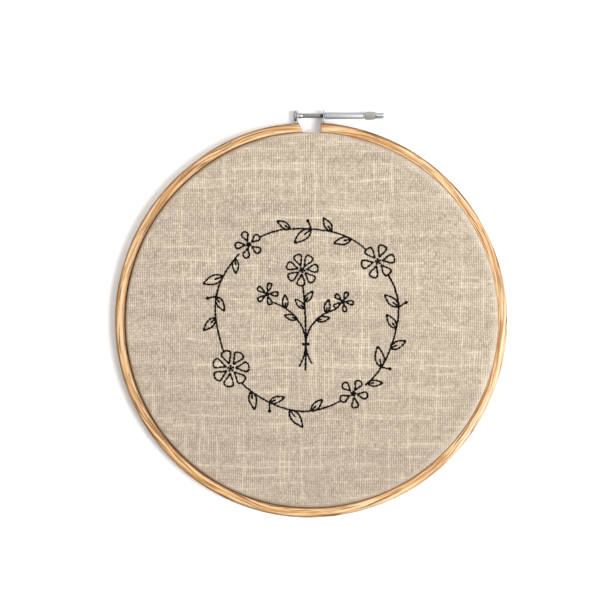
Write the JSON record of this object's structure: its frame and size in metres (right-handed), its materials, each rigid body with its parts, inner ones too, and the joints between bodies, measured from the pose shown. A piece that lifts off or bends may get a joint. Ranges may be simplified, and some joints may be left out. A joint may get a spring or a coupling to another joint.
{
  "type": "embroidered cloth in a wooden embroidery hoop",
  "caption": "Round stitched cloth held taut in a wooden embroidery hoop with a metal tension screw and long nut, to lie flat or hang on a nail.",
  "frame": {"origin": "middle of the underside of the whole part's box, on the surface that it rests on", "axes": "+Z the way the face of the cloth looks, +Y from the middle of the hoop to the tension screw, +X along the screw from its head to its nut"},
  "size_m": [0.256, 0.2644, 0.0113],
  "materials": {
    "linen": "plain weave with slubs, matt",
    "varnished_wood": "satin clear varnish over straight grain",
    "zinc_plate": "bright zinc plate",
    "black_thread": "stranded cotton, slight sheen"
  },
  "bodies": {
    "hoop": {"cloth": "linen", "outer_ring": "varnished_wood", "inner_ring": "varnished_wood", "bracket_left": "zinc_plate", "bracket_right": "zinc_plate", "tension_screw": "zinc_plate"},
    "nut": {"tension_nut": "zinc_plate"}
  },
  "joints": [
    {"name": "nut_spin", "type": "hinge", "parent": "hoop", "child": "nut", "pos_m": [0, 0.12855, 0.005], "axis": [1, 0, 0], "continuous": true}
  ]
}
